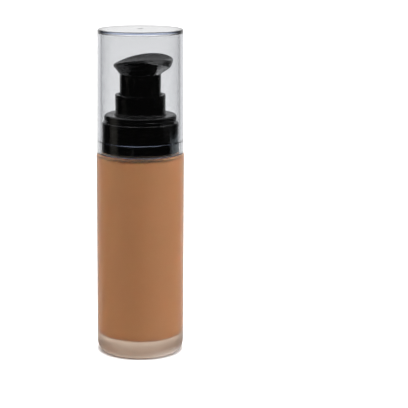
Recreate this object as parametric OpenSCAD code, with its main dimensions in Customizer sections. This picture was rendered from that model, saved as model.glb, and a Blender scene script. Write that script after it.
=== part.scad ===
// Frosted glass foundation bottle with a treatment pump and a clear overcap.
// Millimetres. +Z is up, the origin is the centre of the base, and the front is -Y.
// The bottle and its threads come first, then the closure, the pump, the finger head and the overcap.

/* [Bottle] */
// Outer diameter of the glass cylinder
bottle_d = 31; // [30:0.1:32]
// Height of the flat shoulder above the base
shoulder_z = 71.7; // [70:0.1:74]
// Thickness of the glass wall
wall_t = 2.2; // [1.8:0.1:2.4]
// Thickness of the glass shoulder
shoulder_t = 1.1; // [1:0.1:1.8]
// Thickness of the solid glass base
base_t = 5.9; // [4.5:0.1:6.4]
// Width of the rounded heel
heel_w = 2.2; // [1.5:0.1:3]
// Height of the rounded heel
heel_h = 3.7; // [2:0.1:4]
// Height of the neck above the shoulder
neck_h = 9.3; // [9.3:0.1:10]

/* [Neck thread] */
// Radius at the crest of the glass thread
thread_crest_r = 9.85; // [9.7:0.05:9.9]
// Rise of the thread in one turn
thread_pitch = 3.175; // [3:0.025:3.3]
// Number of turns of glass thread
thread_turns = 1.25; // [1:0.05:1.4]

/* [Closure] */
// Radius of the black collar
collar_r = 13.46; // [13.3:0.02:13.5]
// Radius of the ring around the collar's foot
collar_foot_r = 13.7; // [13.6:0.02:13.75]
// Height of the collar's foot ring
collar_foot_h = 3.3; // [2:0.1:3.6]
// Height of the whole collar
collar_h = 10.4; // [9.8:0.1:10.5]
// Radius of the ledge above the collar
ledge_r = 12.75; // [12.4:0.05:13]

/* [Guide sleeve] */
// Outer radius of the sleeve
sleeve_r = 8.86; // [8.6:0.02:9]
// Radius of the sleeve's foot
sleeve_foot_r = 9.23; // [9.1:0.01:9.6]
// Height of the sleeve above the ledge
sleeve_h = 7; // [6.6:0.1:7.2]

/* [Finger head] */
// Outer radius of the skirt that runs in the sleeve
skirt_r = 7.24; // [7:0.02:7.3]
// Height above the ledge at which the head flares out of the skirt
flare_rise = 14.1; // [13.6:0.1:14.6]
// Mean radius of the rim
head_r = 11.2; // [10.8:0.1:11.3]
// How far the rim is set off towards the nozzle
head_shift = 1.35; // [1.1:0.05:1.4]
// How far the rim swells at its sides
head_swell = 0.85; // [0.5:0.05:0.9]
// Mean height of the rim over the flare
rim_rise = 5.05; // [4.9:0.05:5.2]
// How far the rim climbs towards the nozzle
rim_tilt = 0.9; // [0.7:0.05:0.95]
// How far the rim climbs at its sides
rim_saddle = 0.7; // [0.5:0.05:0.75]
// Height of the dish's lowest point over the flare
dish_rise = 3.3; // [3.2:0.05:3.4]
// Direction of the nozzle from +X, positive towards +Y
nozzle_turn = -8; // [-40:1:40]

/* [Pump] */
// Travel of the finger head
stroke = 5.5; // [4:0.1:5.5]
// Radius of the pump chamber
chamber_r = 3.65; // [3.6:0.01:3.7]
// Outer radius of the hollow stem
stem_r = 1.9; // [1.8:0.05:1.95]
// Turns of the return spring
spring_turns = 8; // [6:1:8]
// Radius of the spring's wire
spring_wire_r = 0.22; // [0.18:0.01:0.24]
// Radius of the inlet ball
ball_r = 1; // [0.9:0.05:1]
// Outer radius of the dip tube
tube_r = 1.5; // [1.4:0.05:1.5]

/* [Overcap] */
// Radius of the cap's rim
cap_rim_r = 15.3; // [15.1:0.05:15.4]
// Radius of the cap's top
cap_top_r = 14.95; // [14.8:0.05:15.1]
// Height of the cap from rim to top
cap_h = 43.3; // [42.5:0.1:45]
// Thickness of the cap's top
cap_top_t = 1; // [0.9:0.1:1.6]
// Height of the step inside the rim
cap_step_h = 4.1; // [4.1:0.1:4.4]

/* [Hidden] */
$fn = 96;

seat_gap = 0.02;      // between faces that rest on each other
fit_gap = 0.03;       // radial, between a shaft and its hole
loose_gap = 0.3;      // radial, round a piece that lifts out
overlap = 0.1;        // how far joined shapes run into each other

// glass
bottle_r = bottle_d / 2;
cavity_r = bottle_r - wall_t;
cavity_round = 2.1;
cavity_top_round = 1.2;
cavity_top_z = shoulder_z - shoulder_t;
floor_rise = 0.3;
shoulder_round = 0.7;
push_up = 0.45;
push_up_r = 8.6;
push_up_slope = 0.9;
neck_root_r = 9;
neck_fillet = 0.6;
neck_bore_r = 6.75;
neck_edge = 0.35;
neck_top_z = shoulder_z + neck_h;
thread_z = neck_top_z - 6.2;       // middle of the glass thread at its start

// levels of the closure, from the neck up
gasket_t = 0.8;
flange_t = 1;
plate_t = 1;
gasket_z = neck_top_z + seat_gap;
flange_z = gasket_z + gasket_t;
plate_z = flange_z + flange_t + seat_gap;
ledge_t = 1.75;
ledge_round = 0.7;
ledge_z = plate_z + plate_t + seat_gap + ledge_t;      // top of the ledge
collar_z = shoulder_z + 1;
closure_z = collar_z + 0.5;
closure_r = 11.4;
closure_bore_r = 10.15;
closure_thread_r = 9.25;
closure_thread_drop = 1.15;        // how far it runs below the glass thread
shell_bore_r = 12.25;
rib_count = 24;
rib_w = 0.8;
plate_hole_r = 6.3;
flange_r = 8.9;
sleeve_bore_r = 7.65;
sleeve_foot_h = 0.5;
ledge_tuck_h = 2.4;

// levels of the pump, from the flange down
plug_h = 3.6;
piston_h = 2.35;
piston_top_z = flange_z + flange_t - plug_h - fit_gap;
piston_z = piston_top_z - piston_h;
seat_flange_t = 0.7;
seat_flange_r = 2.5;
spring_top_z = piston_z - seat_gap - seat_flange_t;
spring_h = stroke + 3.9;
spring_z = spring_top_z - spring_h;
spring_r = 2.7;
retainer_t = 0.5;
ball_room_h = 2.5;
ball_room_r = 1.45;
seat_z = spring_z - retainer_t - ball_room_h;
seat_hole_r = 0.8;
web_t = 1.3;
socket_h = 6.4;
housing_z = seat_z - web_t - socket_h;
housing_r = 4.9;
neck_plug_r = 6.5;
neck_plug_h = 2.4;
tail_r = 2.75;
plug_r = 4.3;
lag = 0.48;                        // travel of the stem before the piston follows
stem_z = piston_top_z + lag + 0.05;
rod_r = 1.19;
rod_bore_r = 0.65;
tower_r = 3.3;
tower_h = 2.7;
tube_z = base_t + 1.1;
tube_bore_r = 0.95;
fill_z = cavity_top_z - 0.12;

// levels of the head
flare_z = ledge_z + flare_rise;
skirt_z = ledge_z + stroke - 0.1;
skirt_bore_r = 6.2;
hub_r = 3.1;
hub_z = flare_z - 5.9;
head_roof_z = flare_z + 1.3;
stem_top_z = flare_z + 1.5;
outlet_r = 0.6;
outlet_z = flare_z + 2.35;
outlet_rise = 0.55;
rim_w = 0.45;
side_lean = 0.2;                   // how far the swell leans back from the nozzle
peak_lean = 0.15;                  // how far the rim's two peaks lean towards the nozzle
root_in = 0.3;                     // how far the head form starts inside the skirt

// levels of the cap
cap_z = shoulder_z + 0.3;
cap_top_z = cap_z + cap_h;
cap_bore_top_r = 13.45;
cap_bore_foot_r = 13.62;
cap_step_r = 13.95;
cap_edge = 0.35;
gate_r = 1.1;
gate_depth = 0.2;

// Points on an arc: centre, radii along X and Y, start and end angle.
function arc(cx, cy, rx, ry, a0, a1, n = 8) =
    [for (i = [0:n]) let (a = a0 + (a1 - a0) * i / n) [cx + rx * cos(a), cy + ry * sin(a)]];

// A ridge that winds up a right-hand helix. foot_r and crest_r are its radii, and foot_w and
// crest_w its half widths there. Both ends run out to nothing over the first and last steps.
module thread_ridge(foot_r, crest_r, foot_w, crest_w, z0, turns) {
    steps = round(turns * 36);
    run_out = 3;
    rings = [for (i = [0:steps])
        let (
            a = 360 * turns * i / steps,
            z = z0 + thread_pitch * turns * i / steps,
            grow = min(1, (i + 0.4) / run_out, (steps - i + 0.4) / run_out),
            r = foot_r + (crest_r - foot_r) * grow,
            w = crest_w * grow + 0.05,
            section = [[foot_r, -foot_w], [r, -w], [r, w], [foot_r, foot_w]]
        )
        for (p = section) [p[0] * cos(a), p[0] * sin(a), z + p[1]]];
    swept(rings, 4, steps, crest_r < foot_r);
}

// Closes rings of n points into a solid. outward says which way round the rings run.
module swept(points, n, steps, outward = true) {
    sides = [for (i = [0:steps - 1], j = [0:n - 1])
        let (a = i * n + j, b = i * n + (j + 1) % n)
        each [[a, b, b + n], [a, b + n, a + n]]];
    caps = [[for (j = [0:n - 1]) n - 1 - j], [for (j = [0:n - 1]) steps * n + j]];
    faces = concat(sides, caps);
    polyhedron(points, outward ? [for (f = faces) [for (k = [len(f) - 1:-1:0]) f[k]]] : faces);
}

module ring(r_out, r_in, z, h) {
    translate([0, 0, z])
        difference() {
            cylinder(r = r_out, h = h);
            translate([0, 0, -1]) cylinder(r = r_in, h = h + 2);
        }
}

// ---- bottle ----

module bottle() {
    color("#d9c3ae") {
        rotate_extrude()
            polygon(concat(
                [[0, push_up], [push_up_r, push_up], [push_up_r + push_up_slope, 0]],
                arc(bottle_r - heel_w, heel_h, heel_w, heel_h, -90, 0, 12),
                arc(bottle_r - shoulder_round, shoulder_z - shoulder_round,
                    shoulder_round, shoulder_round, 0, 90, 6),
                arc(neck_root_r + neck_fillet, shoulder_z + neck_fillet,
                    neck_fillet, neck_fillet, 270, 180, 5),
                arc(neck_root_r - neck_edge, neck_top_z - neck_edge, neck_edge, neck_edge, 0, 90, 4),
                [[neck_bore_r + neck_edge, neck_top_z], [neck_bore_r, neck_top_z - neck_edge]],
                [[neck_bore_r, cavity_top_z + 0.9], [neck_bore_r + 0.9, cavity_top_z]],
                cavity_side(0),
                [[0, base_t + floor_rise]]
            ));
        thread_ridge(neck_root_r - overlap, thread_crest_r, 0.85, 0.35, thread_z, thread_turns);
    }
}

// The cavity's side from its ceiling down to its floor, drawn in by gap.
function cavity_side(gap) = concat(
    arc(cavity_r - cavity_top_round, cavity_top_z - cavity_top_round,
        cavity_top_round - gap, cavity_top_round - gap, 90, 0, 8),
    arc(cavity_r - cavity_round, base_t + cavity_round,
        cavity_round - gap, cavity_round - gap, 0, -90, 8)
);

// The liquid fills the cavity and leaves a channel for the pump to lift out of.
module foundation_fill() {
    top_x = cavity_r - cavity_top_round + sqrt(pow(cavity_top_round - seat_gap, 2)
        - pow(fill_z - cavity_top_z + cavity_top_round, 2));
    side = [for (p = cavity_side(seat_gap)) if (p[1] < fill_z) p];
    color("#b07d5a")
        rotate_extrude()
            polygon(concat(
                [[housing_r + loose_gap, fill_z], [top_x, fill_z]],
                side,
                [[0, base_t + floor_rise + seat_gap], [0, tube_z - 0.5]],
                [[tube_r + loose_gap, tube_z - 0.5], [tube_r + loose_gap, housing_z - 0.5]],
                [[tail_r + loose_gap, housing_z - 0.5], [tail_r + loose_gap, seat_z - web_t - 0.5]],
                [[housing_r + loose_gap, seat_z + 1.5]]
            ));
}

// ---- closure ----

module screw_closure() {
    color("#161616") {
        difference() {
            union() {
                translate([0, 0, closure_z]) cylinder(r = closure_r, h = plate_z + plate_t - closure_z);
                for (i = [0:rib_count - 1])
                    rotate([0, 0, 360 * i / rib_count])
                        translate([closure_r - overlap, -rib_w / 2, closure_z + 0.4])
                            cube([shell_bore_r - closure_r + overlap - 0.06, rib_w, 7.6]);
            }
            translate([0, 0, closure_z - 1]) cylinder(r = closure_bore_r, h = plate_z - closure_z + 1);
            translate([0, 0, plate_z - 1]) cylinder(r = plate_hole_r, h = plate_t + 2);
        }
        thread_ridge(closure_bore_r + overlap, closure_thread_r, 0.5, 0.25,
            thread_z - closure_thread_drop, thread_turns);
    }
}

module collar_shell() {
    edge = 0.55;
    step_round = 0.15;
    foot_top_z = collar_z + collar_foot_h;
    top_z = collar_z + collar_h;
    color("#101010")
        rotate_extrude()
            polygon(concat(
                [[shell_bore_r, collar_z]],
                arc(collar_foot_r - step_round, collar_z + step_round, step_round, step_round, -90, 0, 4),
                arc(collar_foot_r - step_round, foot_top_z - step_round, step_round, step_round, 0, 90, 4),
                [[collar_r, foot_top_z]],
                arc(collar_r - edge, top_z - edge, edge, edge, 0, 90, 6),
                [[shell_bore_r, top_z]]
            ));
}

module guide_sleeve() {
    edge = 0.2;
    tuck_r = shell_bore_r - 0.1;
    under_z = ledge_z - ledge_t;
    foot_top_z = ledge_z + sleeve_foot_h;
    top_z = ledge_z + sleeve_h;
    color("#141414")
        rotate_extrude()
            polygon(concat(
                [[sleeve_bore_r, under_z], [closure_r + 0.05, under_z]],
                [[closure_r + 0.05, under_z - ledge_tuck_h], [tuck_r, under_z - ledge_tuck_h]],
                [[tuck_r, under_z]],
                arc(ledge_r - edge, under_z + edge, edge, edge, -90, 0, 4),
                arc(ledge_r - ledge_round, ledge_z - ledge_round, ledge_round, ledge_round, 0, 90, 6),
                arc(sleeve_foot_r + edge, ledge_z + edge, edge, edge, 270, 180, 4),
                arc(sleeve_foot_r - edge, foot_top_z - edge, edge, edge, 0, 90, 4),
                [[sleeve_r, foot_top_z]],
                arc(sleeve_r - edge, top_z - edge, edge, edge, 0, 90, 4),
                arc(sleeve_bore_r + edge, top_z - edge, edge, edge, 90, 180, 4)
            ));
}

// ---- pump ----

module neck_gasket() {
    color("#e8e4da") ring(flange_r, neck_bore_r + 0.2, gasket_z, gasket_t - seat_gap);
}

module pump_housing() {
    top_z = flange_z + flange_t;
    vent_z = piston_z + piston_h / 2;
    color("#efefea")
        difference() {
            union() {
                translate([0, 0, flange_z]) cylinder(r = flange_r, h = flange_t);
                translate([0, 0, flange_z - neck_plug_h]) cylinder(r = neck_plug_r, h = neck_plug_h + overlap);
                translate([0, 0, seat_z + 2]) cylinder(r = housing_r, h = flange_z - seat_z - 2);
                translate([0, 0, seat_z - web_t]) cylinder(r1 = tail_r, r2 = housing_r, h = web_t + 2);
                translate([0, 0, housing_z]) cylinder(r = tail_r, h = socket_h + overlap);
            }
            translate([0, 0, top_z - plug_h]) cylinder(r = plug_r, h = plug_h + 1);
            translate([0, 0, spring_z]) cylinder(r = chamber_r, h = top_z - spring_z);
            translate([0, 0, seat_z]) cylinder(r = ball_room_r, h = ball_room_h);
            translate([0, 0, seat_z]) cylinder(r = ball_r - 0.1, h = ball_room_h + retainer_t + 1);
            translate([0, 0, housing_z + socket_h - 1]) cylinder(r = seat_hole_r, h = web_t + 2);
            translate([0, 0, housing_z - 1]) cylinder(r = tube_r + fit_gap, h = socket_h + 1);
            translate([0, 0, vent_z]) rotate([0, 90, 0]) cylinder(r = 0.4, h = housing_r + 1, $fn = 24);
        }
}

module chaplet() {
    plug_z = piston_top_z + fit_gap;
    flange_top_z = plate_z + plate_t;
    color("#dcdcd6")
        difference() {
            union() {
                translate([0, 0, plug_z]) cylinder(r = plug_r - fit_gap, h = plate_z + overlap - plug_z);
                ring(plate_hole_r - loose_gap, stem_r, plate_z, plate_t);
                translate([0, 0, plate_z]) cylinder(r = tower_r, h = plate_t + tower_h);
            }
            translate([0, 0, piston_top_z - 1])
                cylinder(r = stem_r + fit_gap, h = flange_top_z + tower_h - piston_top_z + 2);
        }
}

module dip_tube() {
    color("#f2f2ee")
        difference() {
            ring(tube_r, tube_bore_r, tube_z, housing_z + socket_h - tube_z - seat_gap);
            translate([0, 0, tube_z]) rotate([0, 30, 0]) translate([-4, -4, -6]) cube([8, 8, 6]);
        }
}

// A helix whose first and last turns lie flat on their seats.
module return_spring() {
    sides = 8;
    per_turn = 20;
    steps = spring_turns * per_turn;
    flat = 0.8 / spring_turns;
    room = spring_h - 2 * spring_wire_r - 2 * seat_gap;
    flat_rise = 2 * spring_wire_r * 0.9;
    rings = [for (i = [0:steps])
        let (
            t = i / steps,
            climb = t < flat ? flat_rise * t / flat
                : t > 1 - flat ? room - flat_rise * (1 - t) / flat
                : flat_rise + (room - 2 * flat_rise) * (t - flat) / (1 - 2 * flat),
            a = 360 * spring_turns * t,
            z = spring_z + spring_wire_r + seat_gap + climb
        )
        for (j = [0:sides - 1])
            let (b = 360 * j / sides, r = spring_r + spring_wire_r * cos(b))
            [r * cos(a), r * sin(a), z + spring_wire_r * sin(b)]];
    color("#b9bcc0") swept(rings, sides, steps, false);
}

module inlet_ball() {
    rest = sqrt(pow(ball_r, 2) - pow(seat_hole_r, 2));
    color("#c9ccd0") translate([0, 0, seat_z + rest + seat_gap]) sphere(r = ball_r);
}

module stem() {
    color("#e4e4de") ring(stem_r, rod_r + 0.01, stem_z, stem_top_z - stem_z);
}

// The rod is pressed into the stem. Its cross holes open when the piston lags behind it.
module piston_rod() {
    top_z = stem_z + 4.5;
    hole_z = piston_z + 0.4;
    color("#d2d2cc")
        difference() {
            union() {
                translate([0, 0, spring_top_z]) cylinder(r = seat_flange_r, h = seat_flange_t);
                translate([0, 0, spring_top_z - 1.2]) cylinder(r1 = 1.2, r2 = 1.6, h = 1.2 + overlap);
                translate([0, 0, spring_top_z]) cylinder(r = rod_r, h = top_z - spring_top_z);
            }
            translate([0, 0, piston_z + 0.1]) cylinder(r = rod_bore_r, h = top_z);
            for (a = [0, 90])
                translate([0, 0, hole_z]) rotate([0, 90, a]) cylinder(r = 0.25, h = 4, center = true, $fn = 24);
        }
}

module piston() {
    lip_r = chamber_r - fit_gap;
    waist_r = chamber_r - 0.55;
    lip_h = 0.65;
    color("#f4f4f0")
        rotate_extrude()
            polygon([
                [seat_flange_r - 0.6, piston_z], [lip_r, piston_z], [lip_r, piston_z + lip_h],
                [waist_r, piston_z + lip_h + 0.2], [waist_r, piston_top_z - lip_h - 0.2],
                [lip_r, piston_top_z - lip_h], [lip_r, piston_top_z], [rod_r + fit_gap, piston_top_z],
                [rod_r + fit_gap, piston_z + 0.8], [seat_flange_r - 0.6, piston_z + 0.8]
            ]);
}

// ---- finger head ----

// Radius of the rim, its height over the flare, the depth of its lip and how far the lip's foot
// stands out from the rim, at an angle from the nozzle.
function head_reach(a) =
    head_r + head_shift * cos(a) - head_swell * cos(2 * a) - side_lean * cos(3 * a);
function head_rise(a) =
    rim_rise + rim_tilt * cos(a) - rim_saddle * cos(2 * a) - peak_lean * cos(3 * a);
function head_lip(a) = 1.45 + 0.7 * cos(a) + 0.5 * cos(2 * a);
function lip_out(a) = -0.25 - 0.45 * cos(a);

// Points of one section through the head: out along the flare, over the rim and down the dish.
function head_section(a) =
    let (r = head_reach(a), h = head_rise(a), foot = r + lip_out(a), low = h - head_lip(a), inner = r - rim_w)
    concat(
        [[skirt_r - root_in, -root_in], [foot - 0.65, low - 0.45], [foot - 0.15, low], [foot, low + 0.3]],
        [[r, h - 0.25], [r - 0.08, h - 0.07], [r - 0.25, h]],
        [for (s = [1, 0.9, 0.75, 0.55, 0.3])
            [inner * s, dish_rise + (h - 0.02 - dish_rise) * (0.35 * pow(s, 2) + 0.65 * pow(s, 4))]]
    );

module head_form() {
    n = 72;
    rows = len(head_section(0));
    rims = [for (k = [0:rows - 1], i = [0:n - 1])
        let (a = i * 360 / n, p = head_section(a)[k])
        [p[0] * cos(a), p[0] * sin(a), p[1]]];
    points = concat(rims, [[0, 0, -root_in], [0, 0, dish_rise]]);
    low = n * rows;
    walls = [for (k = [0:rows - 2], i = [0:n - 1])
        let (a = k * n + i, b = k * n + (i + 1) % n)
        each [[a, b + n, b], [a, a + n, b + n]]];
    ends = [for (i = [0:n - 1])
        let (j = (i + 1) % n, top = (rows - 1) * n)
        each [[low, i, j], [low + 1, top + j, top + i]]];
    polyhedron(points, concat(walls, ends));
}

module actuator_head() {
    color("#121212")
        rotate([0, 0, nozzle_turn])
            difference() {
                union() {
                    translate([0, 0, flare_z]) head_form();
                    translate([0, 0, skirt_z]) cylinder(r = skirt_r, h = flare_z + 0.3 - skirt_z);
                }
                difference() {
                    translate([0, 0, skirt_z - 1]) cylinder(r = skirt_bore_r, h = head_roof_z - skirt_z + 1);
                    translate([0, 0, hub_z]) cylinder(r = hub_r, h = head_roof_z - hub_z + 1);
                }
                translate([0, 0, hub_z - 1]) cylinder(r = stem_r + 0.01, h = stem_top_z - hub_z + 1);
                translate([0, 0, stem_top_z - overlap])
                    cylinder(r = outlet_r + 0.15, h = outlet_z - stem_top_z + overlap, $fn = 32);
                translate([0, 0, outlet_z])
                    rotate([0, 90 - atan(outlet_rise / head_reach(0)), 0])
                        cylinder(r = outlet_r, h = head_reach(0) + 2, $fn = 32);
            }
}

// ---- overcap ----

module overcap() {
    rim_round = 0.15;
    rim_round_in = 0.25;
    bore_round = 0.6;
    roof_z = cap_top_z - cap_top_t;
    step_z = cap_z + cap_step_h;
    step_w = cap_step_r - cap_bore_foot_r;
    color("#dfe3ea", 0.45)
        rotate_extrude()
            polygon(concat(
                arc(cap_step_r + rim_round_in, cap_z + rim_round_in, rim_round_in, rim_round_in, 180, 270, 4),
                arc(cap_rim_r - rim_round, cap_z + rim_round, rim_round, rim_round, -90, 0, 4),
                arc(cap_top_r - cap_edge, cap_top_z - cap_edge, cap_edge, cap_edge, 0, 90, 6),
                [[gate_r, cap_top_z], [gate_r - 0.3, cap_top_z - gate_depth], [0, cap_top_z - gate_depth]],
                [[0, roof_z]],
                arc(cap_bore_top_r - bore_round, roof_z - bore_round, bore_round, bore_round, 90, 0, 6),
                arc(cap_step_r, step_z + step_w, step_w, step_w, 180, 270, 6)
            ));
}

bottle();
foundation_fill();
screw_closure();
collar_shell();
guide_sleeve();
neck_gasket();
pump_housing();
chaplet();
dip_tube();
return_spring();
inlet_ball();
stem();
piston_rod();
piston();
actuator_head();
overcap();
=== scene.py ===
"""Frosted glass foundation bottle with a treatment pump and a clear overcap.

Shapes are in millimetres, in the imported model's own frame: +Z up, front to -Y.
"""

import math

import bmesh
import bpy
from mathutils import Matrix, Vector


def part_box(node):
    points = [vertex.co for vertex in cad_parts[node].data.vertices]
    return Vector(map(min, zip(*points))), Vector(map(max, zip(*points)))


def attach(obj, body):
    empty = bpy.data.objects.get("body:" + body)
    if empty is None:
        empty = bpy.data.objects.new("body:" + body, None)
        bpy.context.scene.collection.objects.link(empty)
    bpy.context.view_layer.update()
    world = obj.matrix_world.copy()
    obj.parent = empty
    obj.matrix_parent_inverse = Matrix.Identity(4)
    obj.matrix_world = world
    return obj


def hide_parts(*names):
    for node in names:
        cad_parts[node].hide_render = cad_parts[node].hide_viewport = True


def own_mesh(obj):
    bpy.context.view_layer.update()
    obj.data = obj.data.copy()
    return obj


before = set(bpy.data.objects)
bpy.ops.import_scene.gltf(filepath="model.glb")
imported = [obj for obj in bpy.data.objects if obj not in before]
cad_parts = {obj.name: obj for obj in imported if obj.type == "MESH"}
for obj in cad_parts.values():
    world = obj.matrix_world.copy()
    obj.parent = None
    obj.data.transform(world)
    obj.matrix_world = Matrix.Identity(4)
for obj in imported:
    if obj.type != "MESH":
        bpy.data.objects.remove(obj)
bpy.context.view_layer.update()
MM = 0.001


def low_z(node):
    """Lowest height of a CAD node, in millimetres."""
    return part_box(node)[0][2] / MM


def high_z(node):
    """Highest height of a CAD node, in millimetres."""
    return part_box(node)[1][2] / MM


def reach(node):
    """Outer radius of a round CAD node, in millimetres."""
    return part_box(node)[1][0] / MM


# ---- dimensions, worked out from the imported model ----

BOTTLE_R = reach("bottle")
NECK_TOP, NECK_H = high_z("bottle"), 9.3
SHOULDER = NECK_TOP - NECK_H
CAVITY_R = round(reach("foundation_fill"), 1)
WETTED = 0.04  # how far the liquid runs into the glass, so that no film of air shows between them
SHOULDER_T = 1.1
CAVITY_TOP = SHOULDER - SHOULDER_T
BASE_T = round(low_z("foundation_fill"), 1)
FILL_TOP = high_z("foundation_fill")
FLOOR_RISE = 0.3  # of the cavity's floor, at its middle
CAVITY_TOP_ROUND, CAVITY_ROUND = 1.2, 2.1
HEEL_W, HEEL_H = 2.2, 3.7
NECK_R, NECK_BORE = 9.0, 6.75
THREAD_RISE, THREAD_PITCH, THREAD_TURNS, THREAD_DROP = 0.85, 3.175, 1.25, 6.2

COLLAR_LOW, COLLAR_TOP = low_z("collar_shell"), high_z("collar_shell")
COLLAR_FOOT_R = reach("collar_shell")
COLLAR_R = COLLAR_FOOT_R - 0.24
COLLAR_FOOT_H, SHELL_BORE = 3.3, 12.25

LEDGE_R = reach("guide_sleeve")
SLEEVE_TOP, SLEEVE_H = high_z("guide_sleeve"), 7.0
LEDGE_Z, LEDGE_T = SLEEVE_TOP - SLEEVE_H, 1.75
SLEEVE_R, SLEEVE_FOOT_R, SLEEVE_BORE = 8.86, 9.23, 7.65

SKIRT_LOW = low_z("actuator_head")
SKIRT_R, SKIRT_BORE = 7.24, 6.2
FLARE_RISE = 14.1
FLARE_Z = LEDGE_Z + FLARE_RISE
NOZZLE_TURN = math.radians(-8)

CAP_LOW, CAP_TOP = low_z("overcap"), high_z("overcap")
CAP_RIM_R = reach("overcap")
CAP_TOP_R = CAP_RIM_R - 0.35
CAP_BORE_TOP, CAP_BORE_FOOT, CAP_STEP_R, CAP_STEP_H, CAP_ROOF_T = 13.45, 13.62, 13.95, 4.1, 1.0


# ---- mesh tools ----


def arc(cx, cz, rx, rz, start, end, n=10):
    """Points on an arc from start to end, in degrees."""
    turns = [math.radians(start + (end - start) * i / n) for i in range(n + 1)]
    return [(cx + rx * math.cos(t), cz + rz * math.sin(t)) for t in turns]


def add_mesh(name, bm, sharp=30):
    """Makes an object from a bmesh in millimetres, smooth except at edges sharper than the angle given."""
    bmesh.ops.remove_doubles(bm, verts=bm.verts, dist=1e-5)
    bmesh.ops.recalc_face_normals(bm, faces=bm.faces)
    bmesh.ops.scale(bm, vec=(MM, MM, MM), verts=bm.verts)
    for face in bm.faces:
        face.smooth = True
    for edge in bm.edges:
        edge.smooth = len(edge.link_faces) == 2 and edge.calc_face_angle() < math.radians(sharp)
    mesh = bpy.data.meshes.new(name)
    bm.to_mesh(mesh)
    bm.free()
    piece = bpy.data.objects.new(name, mesh)
    bpy.context.scene.collection.objects.link(piece)
    return piece


def turned(name, section, segments=160, sharp=30, closed=False):
    """A solid turned about Z. section(angle) gives its outline as (radius, height) points, and ends on
    the axis at both ends, or runs round a closed loop."""
    bm = bmesh.new()
    rings = []
    for i in range(segments):
        a = 2 * math.pi * i / segments
        rings.append([
            bm.verts.new((r * math.cos(a), r * math.sin(a), z)) for r, z in section(a)
        ])
    count = len(rings[0])
    for i in range(segments):
        here, there = rings[i], rings[(i + 1) % segments]
        for k in range(count if closed else count - 1):
            m = (k + 1) % count
            bm.faces.new((here[k], there[k], there[m], here[m]))
    return add_mesh(name, bm, sharp)


def between(here, there, share):
    return tuple(a + (b - a) * share for a, b in zip(here, there))


def lathe(name, outline, **options):
    """Turns one outline about Z. Long straight runs get a ring near each end, so that the rounding of
    their corners doesn't shade them."""
    points = []
    for here, there in zip(outline, outline[1:]):
        points.append(here)
        length = math.dist(here, there)
        if length > 0.5:
            points += [between(here, there, 0.04 / length), between(here, there, 1 - 0.04 / length)]
    points.append(outline[-1])
    return turned(name, lambda a: points, **options)


def helix(name, section, radius_at, pitch, turns, z0, per_turn=60):
    """Sweeps a small closed section, as (radius, height) offsets, up a right-hand helix."""
    bm = bmesh.new()
    steps = round(turns * per_turn)
    rings = []
    for i in range(steps + 1):
        a = 2 * math.pi * i / per_turn
        z = z0 + pitch * i / per_turn
        rings.append([
            bm.verts.new(((radius_at + r) * math.cos(a), (radius_at + r) * math.sin(a), z + h))
            for r, h in section(min(1, (min(i, steps - i) + 0.5) / 6))
        ])
    for here, there in zip(rings, rings[1:]):
        for k in range(len(here)):
            m = (k + 1) % len(here)
            bm.faces.new((here[k], there[k], there[m], here[m]))
    bm.faces.new(rings[0])
    bm.faces.new(rings[-1])
    return add_mesh(name, bm)


def combine(piece, other, operation):
    """Joins another solid to a piece, or cuts it away, and removes the other."""
    tool = piece.modifiers.new("combine", "BOOLEAN")
    tool.operation = operation
    tool.solver = "EXACT"
    tool.object = other
    bpy.context.view_layer.update()
    result = bpy.data.meshes.new_from_object(piece.evaluated_get(bpy.context.evaluated_depsgraph_get()))
    piece.modifiers.remove(tool)
    piece.data = result
    bpy.data.objects.remove(other)


def finish_piece(piece, body, node, material):
    """Gives a piece its material and its body, and hides the CAD node that it stands for."""
    piece.data.materials.clear()
    piece.data.materials.append(material)
    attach(piece, body)
    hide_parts(node)


# ---- materials ----


class Shader:
    """A node material with its Principled shader, and short ways to add to it."""

    def __init__(self, name, **values):
        self.material = bpy.data.materials.new(name)
        self.material.use_nodes = True
        self.tree = self.material.node_tree
        self.main = self.tree.nodes["Principled BSDF"]
        for key, value in values.items():
            self.main.inputs[key.replace("_", " ")].default_value = value

    def node(self, kind, **values):
        made = self.tree.nodes.new(kind)
        for key, value in values.items():
            if key in made.inputs:
                made.inputs[key].default_value = value
            else:
                setattr(made, key, value)
        return made

    def link(self, source, target):
        self.tree.links.new(source, target)

    def place(self):
        """The point on the object, in metres."""
        return self.node("ShaderNodeTexCoord").outputs["Object"]

    def noise(self, scale, detail=3.0, rough=0.5, stretch=(1, 1, 1)):
        mapping = self.node("ShaderNodeMapping")
        mapping.inputs["Scale"].default_value = stretch
        self.link(self.place(), mapping.inputs["Vector"])
        made = self.node("ShaderNodeTexNoise", Scale=scale, Detail=detail, Roughness=rough)
        self.link(mapping.outputs["Vector"], made.inputs["Vector"])
        return made.outputs["Fac"]

    def remap(self, source, low, high, start=0.3, end=0.7):
        made = self.node("ShaderNodeMapRange")
        made.inputs["From Min"].default_value = start
        made.inputs["From Max"].default_value = end
        made.inputs["To Min"].default_value = low
        made.inputs["To Max"].default_value = high
        self.link(source, made.inputs["Value"])
        return made.outputs["Result"]

    def ramp(self, source, stops):
        made = self.node("ShaderNodeValToRGB")
        band = made.color_ramp
        while len(band.elements) < len(stops):
            band.elements.new(0.5)
        for element, (at, color) in zip(band.elements, stops):
            element.position = at
            element.color = (*color, 1)
        self.link(source, made.inputs["Fac"])
        return made.outputs["Color"]

    def bump(self, source, height, strength=1.0):
        made = self.node("ShaderNodeBump", Strength=strength, Distance=height)
        self.link(source, made.inputs["Height"])
        self.link(made.outputs["Normal"], self.main.inputs["Normal"])


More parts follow.
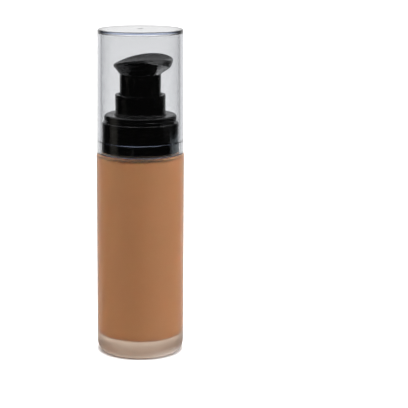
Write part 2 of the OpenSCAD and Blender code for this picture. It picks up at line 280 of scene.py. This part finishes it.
def black_plastic():
    """Glossy moulded plastic: deep black, with a faint flow mottle and fine handling marks."""
    s = Shader("black_plastic", IOR=1.49)
    s.link(s.ramp(s.noise(220, 4), [(0.3, (0.0012, 0.0011, 0.0011)), (0.75, (0.0024, 0.0021, 0.002))]),
           s.main.inputs["Base Color"])
    s.link(s.remap(s.noise(900, 5, 0.6, (1, 1, 0.15)), 0.06, 0.14), s.main.inputs["Roughness"])
    s.bump(s.noise(350, 2), 0.00002, 0.25)
    return s.material


def inner_black():
    s = Shader("black_inner_plastic", IOR=1.49)
    s.link(s.ramp(s.noise(300, 3), [(0.3, (0.008, 0.008, 0.008)), (0.7, (0.014, 0.013, 0.013))]),
           s.main.inputs["Base Color"])
    s.link(s.remap(s.noise(1200, 3), 0.38, 0.5), s.main.inputs["Roughness"])
    return s.material


def frosted_glass():
    """Acid-etched glass: a fine satin grain over a clear body, with painted light and shade in its colour.
    """
    s = Shader("frosted_glass", Transmission_Weight=1.0, IOR=1.5, Sheen_Weight=0.12, Sheen_Roughness=0.4)
    height = s.node("ShaderNodeSeparateXYZ")
    s.link(s.place(), height.inputs["Vector"])
    # Painted light and shade: the glass is tinted warm all through, for light of the liquid's colour, and
    # darker and browner towards the foot, from 9 mm down to 2 mm, for shade in the thick base.
    s.link(s.ramp(s.remap(height.outputs["Z"], 0, 1, 0.002, 0.009),
                  [(0.0, (0.58, 0.45, 0.35)), (1.0, (0.98, 0.875, 0.74))]), s.main.inputs["Base Color"])
    s.link(s.remap(s.noise(1500, 3, 0.6), 0.40, 0.50), s.main.inputs["Roughness"])
    s.bump(s.noise(4500, 2), 0.00002, 0.3)
    return s.material


def clear_plastic():
    """Clear moulded styrene with faint flow lines."""
    s = Shader("clear_plastic", Transmission_Weight=1.0, IOR=1.5, Base_Color=(0.75, 0.75, 0.75, 1))
    tint = s.node("ShaderNodeVolumeAbsorption", Density=45.0, Color=(0.62, 0.71, 0.90, 1))
    s.link(tint.outputs["Volume"], s.tree.nodes["Material Output"].inputs["Volume"])
    s.link(s.remap(s.noise(600, 3, 0.5, (1, 1, 0.1)), 0.0, 0.035), s.main.inputs["Roughness"])
    s.bump(s.noise(160, 2, 0.5, (1, 1, 0.12)), 0.00002, 0.25)
    return s.material


def foundation():
    """Opaque pigmented cream, a little uneven where it has settled against the glass."""
    s = Shader("foundation", Roughness=0.45, Subsurface_Weight=0.15, Subsurface_Scale=0.002)
    s.link(s.ramp(s.noise(60, 3, 0.5, (1, 1, 0.5)),
                  [(0.3, (0.418, 0.188, 0.071)), (0.7, (0.442, 0.202, 0.078))]),
           s.main.inputs["Base Color"])
    return s.material


def white_plastic():
    s = Shader("white_plastic", IOR=1.49, Subsurface_Weight=0.1, Subsurface_Scale=0.001)
    s.link(s.ramp(s.noise(250, 3), [(0.3, (0.74, 0.74, 0.71)), (0.7, (0.79, 0.79, 0.76))]),
           s.main.inputs["Base Color"])
    s.link(s.remap(s.noise(900, 3), 0.32, 0.42), s.main.inputs["Roughness"])
    return s.material


def steel():
    s = Shader("steel", Metallic=1.0)
    s.link(s.ramp(s.noise(1500, 4, 0.6), [(0.3, (0.50, 0.51, 0.53)), (0.7, (0.66, 0.67, 0.69))]),
           s.main.inputs["Base Color"])
    s.link(s.remap(s.noise(2200, 3), 0.16, 0.30), s.main.inputs["Roughness"])
    return s.material


def gasket_foam():
    s = Shader("gasket_foam", Roughness=0.85)
    s.link(s.ramp(s.noise(2500, 2), [(0.35, (0.58, 0.56, 0.50)), (0.65, (0.72, 0.70, 0.64))]),
           s.main.inputs["Base Color"])
    s.bump(s.noise(2500, 2), 0.00004, 0.6)
    return s.material


# ---- bottle ----


def cavity_side(gap):
    """The cavity from the edge of its ceiling down to the edge of its floor, drawn in by gap."""
    top, low = CAVITY_TOP_ROUND, CAVITY_ROUND
    return (
        arc(CAVITY_R - top, CAVITY_TOP - top, top - gap, top - gap, 90, 0)
        + arc(CAVITY_R - low, BASE_T + low, low - gap, low - gap, 0, -90)
    )


def make_bottle(material):
    edge, fillet, bevel = 0.7, 0.6, 0.35
    push_up, push_up_r, stand_r = 0.45, 8.6, 9.5
    outline = (
        [(0, push_up), (push_up_r, push_up), (stand_r, 0)]
        + arc(BOTTLE_R - HEEL_W, HEEL_H, HEEL_W, HEEL_H, -90, 0, 18)
        + arc(BOTTLE_R - edge, SHOULDER - edge, edge, edge, 0, 90)
        + arc(NECK_R + fillet, SHOULDER + fillet, fillet, fillet, 270, 180)
        + arc(NECK_R - bevel, NECK_TOP - bevel, bevel, bevel, 0, 90)
        + arc(NECK_BORE + bevel, NECK_TOP - bevel, bevel, bevel, 90, 180)
        + [(NECK_BORE, CAVITY_TOP + 0.9), (NECK_BORE + 0.9, CAVITY_TOP)]
        + cavity_side(0)
        + [(0, BASE_T + FLOOR_RISE)]
    )
    bottle = lathe("bottle_glass", outline, segments=192)
    ridge = helix(
        "ridge",
        lambda grow: [(-0.1, -0.85), (THREAD_RISE * grow, -0.35), (THREAD_RISE * grow, 0.35), (-0.1, 0.85)],
        NECK_R, THREAD_PITCH, THREAD_TURNS, NECK_TOP - THREAD_DROP,
    )
    combine(bottle, ridge, "UNION")
    finish_piece(bottle, "glass", "bottle", material)


def make_fill(material):
    """The liquid, with the channel that the pump stands in."""
    corner, bend = CAVITY_TOP_ROUND, CAVITY_TOP_ROUND + WETTED
    side = [p for p in cavity_side(-WETTED) if p[1] < FILL_TOP]
    top_r = CAVITY_R - corner + math.sqrt(bend**2 - (FILL_TOP - CAVITY_TOP + corner) ** 2)
    tube_low = low_z("dip_tube") - 0.5
    tail_low = low_z("pump_housing") - 0.5
    tube_way, tail_way, body_way = 1.8, 3.05, 5.2
    outline = (
        [(body_way, FILL_TOP), (top_r, FILL_TOP)]
        + side
        + [(0, BASE_T + FLOOR_RISE - WETTED), (0, tube_low), (tube_way, tube_low), (tube_way, tail_low)]
        + [(tail_way, tail_low), (tail_way, tail_low + 6.4), (body_way, tail_low + 9.7)]
    )
    fill = lathe("foundation_liquid", outline, segments=160, closed=True)
    finish_piece(fill, "glass", "foundation_fill", material)


# ---- closure ----


def make_collar(material):
    edge, step = 0.55, 0.15
    foot_top = COLLAR_LOW + COLLAR_FOOT_H
    outline = (
        [(SHELL_BORE, COLLAR_LOW)]
        + arc(COLLAR_FOOT_R - step, COLLAR_LOW + step, step, step, -90, 0, 5)
        + arc(COLLAR_FOOT_R - step, foot_top - step, step, step, 0, 90, 5)
        + [(COLLAR_R + 0.05, foot_top), (COLLAR_R, foot_top + 0.05)]
        + arc(COLLAR_R - edge, COLLAR_TOP - edge, edge, edge, 0, 90, 8)
        + [(SHELL_BORE, COLLAR_TOP)]
    )
    collar = lathe("collar_shell_visual", outline, closed=True)
    finish_piece(collar, "closure", "collar_shell", material)


def make_sleeve(material):
    edge, ledge = 0.2, 0.7
    under = LEDGE_Z - LEDGE_T
    tuck_in, tuck_out, tuck_low = 11.45, SHELL_BORE - 0.1, under - 2.4
    foot_top = LEDGE_Z + 0.5
    outline = (
        [(SLEEVE_BORE, under), (tuck_in, under), (tuck_in, tuck_low), (tuck_out, tuck_low)]
        + [(tuck_out, under)]
        + arc(LEDGE_R - edge, under + edge, edge, edge, -90, 0, 5)
        + arc(LEDGE_R - ledge, LEDGE_Z - ledge, ledge, ledge, 0, 90, 9)
        + arc(SLEEVE_FOOT_R + edge, LEDGE_Z + edge, edge, edge, 270, 180, 5)
        + arc(SLEEVE_FOOT_R - edge, foot_top - edge, edge, edge, 0, 90, 5)
        + [(SLEEVE_R, foot_top)]
        + arc(SLEEVE_R - edge, SLEEVE_TOP - edge, edge, edge, 0, 90, 5)
        + arc(SLEEVE_BORE + edge, SLEEVE_TOP - edge, edge, edge, 90, 180, 5)
    )
    sleeve = lathe("guide_sleeve_visual", outline, closed=True)
    finish_piece(sleeve, "closure", "guide_sleeve", material)


# ---- finger head ----

DISH_RISE, RIM_W = 3.3, 0.45
OUTLET_R, OUTLET_LOW, OUTLET_RISE = 0.6, 2.35, 0.55


def head_reach(a):
    """Radius of the rim, at an angle from the nozzle."""
    return 11.2 + 1.35 * math.cos(a) - 0.85 * math.cos(2 * a) - 0.2 * math.cos(3 * a)


def head_rise(a):
    """Height of the rim over the flare."""
    return 5.05 + 0.9 * math.cos(a) - 0.7 * math.cos(2 * a) - 0.15 * math.cos(3 * a)


def head_section(angle):
    """The head's outline at one angle: out over the dish to the rim, down the flare and the skirt, and
    back up inside round the hub."""
    a = angle - NOZZLE_TURN
    r, h = head_reach(a), head_rise(a)
    low = h - 1.45 - 0.7 * math.cos(a) - 0.5 * math.cos(2 * a)
    foot = r - 0.25 - 0.45 * math.cos(a)
    inner = r - RIM_W
    bowl = []
    for i in range(15):
        s = i / 14
        bowl.append((inner * s, DISH_RISE + (h - 0.02 - DISH_RISE) * (0.35 * s**2 + 0.65 * s**4)))
    rim = [(r - 0.25, h), (r - 0.16, h - 0.02), (r - 0.1, h - 0.06)]
    rim += [(r - 0.05, h - 0.12), (r - 0.02, h - 0.22)]
    flare = [(foot, low + 0.3), (foot - 0.03, low + 0.15), (foot - 0.15, low), (foot - 0.38, low - 0.24)]
    flare += [(foot - 0.65, low - 0.45)]
    flare += [between(flare[-1], (SKIRT_R + 0.06, 0.03), share) for share in (0.06, 0.94)]
    top = [(x, FLARE_Z + z) for x, z in bowl + rim + flare]
    roof = FLARE_Z + 1.3
    hub_low, hub_r, bore = FLARE_Z - 5.9, 3.1, 1.91
    skirt = [(SKIRT_R + 0.06, FLARE_Z + 0.03), (SKIRT_R, FLARE_Z - 0.06), (SKIRT_R, FLARE_Z - 0.12)]
    skirt += [(SKIRT_R, SKIRT_LOW + 0.25)] + arc(SKIRT_R - 0.2, SKIRT_LOW + 0.2, 0.2, 0.2, 0, -90, 4)
    inside = [(SKIRT_BORE, SKIRT_LOW), (SKIRT_BORE, roof), (hub_r, roof), (hub_r, hub_low)]
    inside += [(bore, hub_low), (bore, FLARE_Z + 1.5), (0, FLARE_Z + 1.5)]
    return top + skirt + inside


def make_head(material):
    head = turned("actuator_head_visual", head_section, segments=240, sharp=34)
    bm = bmesh.new()
    length = head_reach(0) + 2
    bmesh.ops.create_cone(bm, cap_ends=True, segments=40, radius1=OUTLET_R, radius2=OUTLET_R, depth=length)
    slope = math.atan(OUTLET_RISE / head_reach(0))
    bmesh.ops.translate(bm, vec=(0, 0, length / 2), verts=bm.verts)
    bmesh.ops.rotate(bm, matrix=Matrix.Rotation(math.pi / 2 - slope, 3, "Y"), verts=bm.verts)
    bmesh.ops.rotate(bm, matrix=Matrix.Rotation(NOZZLE_TURN, 3, "Z"), verts=bm.verts)
    bmesh.ops.translate(bm, vec=(0, 0, FLARE_Z + OUTLET_LOW), verts=bm.verts)
    combine(head, add_mesh("outlet", bm), "DIFFERENCE")
    finish_piece(head, "head", "actuator_head", material)


# ---- overcap ----


def make_cap(material):
    rim, inside, edge, bore_round = 0.15, 0.25, 0.35, 0.6
    gate_in, gate_out, gate_depth = 0.8, 1.1, 0.2
    roof, step = CAP_TOP - CAP_ROOF_T, CAP_LOW + CAP_STEP_H
    step_w = CAP_STEP_R - CAP_BORE_FOOT
    outline = (
        [(0, CAP_TOP - gate_depth), (gate_in, CAP_TOP - gate_depth), (gate_out, CAP_TOP)]
        + arc(CAP_TOP_R - edge, CAP_TOP - edge, edge, edge, 90, 0, 8)
        + arc(CAP_RIM_R - rim, CAP_LOW + rim, rim, rim, 0, -90, 6)
        + arc(CAP_STEP_R + inside, CAP_LOW + inside, inside, inside, 270, 180, 5)
        + [(CAP_STEP_R, step)]
        + arc(CAP_STEP_R, step + step_w, step_w, step_w, 270, 180, 8)
        + arc(CAP_BORE_TOP - bore_round, roof - bore_round, bore_round, bore_round, 0, 90, 8)
        + [(0, roof)]
    )
    cap = lathe("overcap_visual", outline, segments=192)
    finish_piece(cap, "cap", "overcap", material)


# ---- pump, hidden in the bottle ----


def make_spring(material):
    """The return spring as a smooth coil."""
    low, high = low_z("return_spring"), high_z("return_spring")
    wire, mean_r, turns, flat = 0.22, 2.7, 8, 0.8
    room = high - low - 2 * wire
    step = 2 * wire * 0.9
    bm = bmesh.new()
    rings = []
    count = turns * 36
    for i in range(count + 1):
        t = i / count * turns
        if t < flat:
            climb = step * t / flat
        elif t > turns - flat:
            climb = room - step * (turns - t) / flat
        else:
            climb = step + (room - 2 * step) * (t - flat) / (turns - 2 * flat)
        a = 2 * math.pi * t
        ring = []
        for k in range(12):
            b = 2 * math.pi * k / 12
            r, z = mean_r + wire * math.cos(b), low + wire + climb + wire * math.sin(b)
            ring.append(bm.verts.new((r * math.cos(a), r * math.sin(a), z)))
        rings.append(ring)
    for here, there in zip(rings, rings[1:]):
        for k in range(12):
            m = (k + 1) % 12
            bm.faces.new((here[k], there[k], there[m], here[m]))
    bm.faces.new(rings[0])
    bm.faces.new(rings[-1])
    spring = add_mesh("return_spring_visual", bm)
    finish_piece(spring, "pump_body", "return_spring", material)
    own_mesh(spring)


def dress(node, material):
    """Gives a CAD node its material."""
    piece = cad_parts[node]
    for i in range(max(1, len(piece.material_slots))):
        if len(piece.material_slots) == 0:
            piece.data.materials.append(material)
        piece.material_slots[i].link = "OBJECT"
        piece.material_slots[i].material = material


# ---- studio ----


def aim(thing, at):
    thing.rotation_euler = (Vector(at) - thing.location).to_track_quat("-Z", "Y").to_euler()


def math_node(tree, operation, *sources):
    """A Math node fed by sockets or plain numbers."""
    made = tree.nodes.new("ShaderNodeMath")
    made.operation = operation
    for source, target in zip(sources, made.inputs):
        if isinstance(source, float):
            target.default_value = source
        else:
            tree.links.new(source, target)
    return made.outputs["Value"]


def soft_box(name, place, at, width, height, power, color=(1, 1, 1), glint=1.0):
    """An area lamp. glint is how bright it looks in reflections, next to the light that it gives.
    A straight look through clear plastic doesn't see it."""
    data = bpy.data.lights.new(name, "AREA")
    data.shape = "RECTANGLE"
    data.size, data.size_y = width, height
    data.energy = power
    data.color = color
    data.use_nodes = True
    tree = data.node_tree
    path = tree.nodes.new("ShaderNodeLightPath")
    shine = tree.nodes.new("ShaderNodeMapRange")
    shine.inputs["To Min"].default_value = 1.0
    shine.inputs["To Max"].default_value = glint
    tree.links.new(path.outputs["Glossy Depth"], shine.inputs["Value"])
    bounces = math_node(tree, "ADD", path.outputs["Glossy Depth"], path.outputs["Diffuse Depth"])
    level = math_node(tree, "MULTIPLY", shine.outputs["Result"], math_node(tree, "MINIMUM", bounces, 1.0))
    tree.links.new(level, tree.nodes["Emission"].inputs["Strength"])
    lamp = bpy.data.objects.new(name, data)
    lamp.location = place
    lamp.visible_camera = False
    bpy.context.scene.collection.objects.link(lamp)
    aim(lamp, at)


def make_world():
    """White to the eye and through glass. What lit faces see is dimmer in front, and what reflections
    see is black but for a light wall behind, a ceiling and a table."""
    world = bpy.data.worlds.new("studio")
    bpy.context.scene.world = world
    world.use_nodes = True
    tree = world.node_tree

    def fade(source, start, end, low, high):
        made = tree.nodes.new("ShaderNodeMapRange")
        made.interpolation_type = "SMOOTHSTEP"
        for key, value in (("From Min", start), ("From Max", end), ("To Min", low), ("To Max", high)):
            made.inputs[key].default_value = value
        tree.links.new(source, made.inputs["Value"])
        return made.outputs["Result"]

    def mix(factor, first, second):
        made = tree.nodes.new("ShaderNodeMix")
        for source, target in zip((factor, first, second), made.inputs[0:1] + made.inputs[2:4]):
            if isinstance(source, float):
                target.default_value = source
            else:
                tree.links.new(source, target)
        return made.outputs["Result"]

    path = tree.nodes.new("ShaderNodeLightPath")
    where = tree.nodes.new("ShaderNodeTexCoord")
    split = tree.nodes.new("ShaderNodeSeparateXYZ")
    tree.links.new(where.outputs["Generated"], split.inputs["Vector"])
    lit = fade(split.outputs["Y"], -0.6, 0.0, 0.06, 1.3)
    wall = fade(split.outputs["Y"], 0.45, 0.97, 0.012, 1.0)
    ceiling = fade(split.outputs["Z"], 0.3, 0.7, 0.0, 1.3)
    table = math_node(tree, "MULTIPLY", fade(split.outputs["Z"], -0.72, -0.36, 1.0, 0.0),
                      fade(split.outputs["X"], 0.0, 0.5, 0.6, 3.6))
    mirrored = math_node(tree, "MAXIMUM", math_node(tree, "MAXIMUM", wall, ceiling), table)
    glossy = math_node(tree, "GREATER_THAN", path.outputs["Glossy Depth"], 0.5)
    bounces = math_node(tree, "ADD", path.outputs["Glossy Depth"], path.outputs["Diffuse Depth"])
    straight = math_node(tree, "LESS_THAN", bounces, 0.5)
    level = mix(straight, mix(glossy, lit, mirrored), 1.0)
    tree.links.new(level, tree.nodes["Background"].inputs["Color"])


def make_floor():
    """A white table that glows a little away from the bottle, and that reflections don't see."""
    bm = bmesh.new()
    bmesh.ops.create_grid(bm, x_segments=1, y_segments=1, size=6)
    mesh = bpy.data.meshes.new("floor")
    bm.to_mesh(mesh)
    bm.free()
    floor = bpy.data.objects.new("floor", mesh)
    bpy.context.scene.collection.objects.link(floor)
    s = Shader("floor", Base_Color=(0.93, 0.93, 0.93, 1), Roughness=0.9)
    s.main.inputs["Emission Color"].default_value = (1, 1, 1, 1)
    away = s.node("ShaderNodeVectorMath", operation="LENGTH")
    s.link(s.place(), away.inputs[0])
    s.link(s.remap(away.outputs["Value"], 0.0, 0.6, 0.0150, 0.0160), s.main.inputs["Emission Strength"])
    path = s.node("ShaderNodeLightPath")
    mirrored = s.node("ShaderNodeMath", operation="GREATER_THAN")
    mirrored.inputs[1].default_value = 0.5
    s.link(path.outputs["Glossy Depth"], mirrored.inputs[0])
    mix = s.node("ShaderNodeMixShader")
    s.link(mirrored.outputs["Value"], mix.inputs["Fac"])
    s.link(s.main.outputs["BSDF"], mix.inputs[1])
    s.link(s.node("ShaderNodeBsdfTransparent").outputs["BSDF"], mix.inputs[2])
    s.link(mix.outputs["Shader"], s.tree.nodes["Material Output"].inputs["Surface"])
    mesh.materials.append(s.material)


def make_studio():
    make_world()
    make_floor()
    soft_box("key_right", (0.85, -0.2, 0.35), (0, 0, 0.06), 0.5, 0.9, 10.0, glint=0.006)
    soft_box("fill_left", (-0.85, -0.2, 0.30), (0, 0, 0.06), 0.4, 0.9, 5.5, (1, 0.95, 0.82), glint=0.03)
    soft_box("strip", (-0.11, -0.28, 0.018), (0, 0, 0.018), 0.02, 0.02, 0.0003)
    soft_box("glow", (0.28, 0.10, 0.020), (0, 0, 0.020), 0.2, 0.02, 0.006, (0.85, 0.95, 1))
    soft_box("top", (0, 0.1, 1.0), (0, 0, 0), 0.8, 0.8, 3.0)


def make_camera():
    """A long lens from a little above, with the bottle left of the middle of the frame."""
    data = bpy.data.cameras.new("camera")
    data.sensor_width = 36
    data.lens = 126.7
    data.shift_x = 0.156
    data.clip_start = 0.01
    data.clip_end = 50
    camera = bpy.data.objects.new("camera", data)
    camera.location = (0, -0.5, 0.1594)
    camera.rotation_euler = (math.radians(90 - 12.0), 0, 0)
    bpy.context.scene.collection.objects.link(camera)
    bpy.context.scene.camera = camera


def main():
    bpy.context.scene.view_settings.view_transform = "Standard"
    make_camera()
    make_studio()

    black, dark = black_plastic(), inner_black()
    white, metal = white_plastic(), steel()
    make_bottle(frosted_glass())
    make_fill(foundation())
    make_collar(black)
    make_sleeve(black)
    make_head(black)
    make_cap(clear_plastic())
    make_spring(metal)
    dress("screw_closure", dark)
    dress("neck_gasket", gasket_foam())
    for node in ("pump_housing", "chaplet", "dip_tube", "stem", "piston_rod", "piston"):
        dress(node, white)
    dress("inlet_ball", metal)


main()
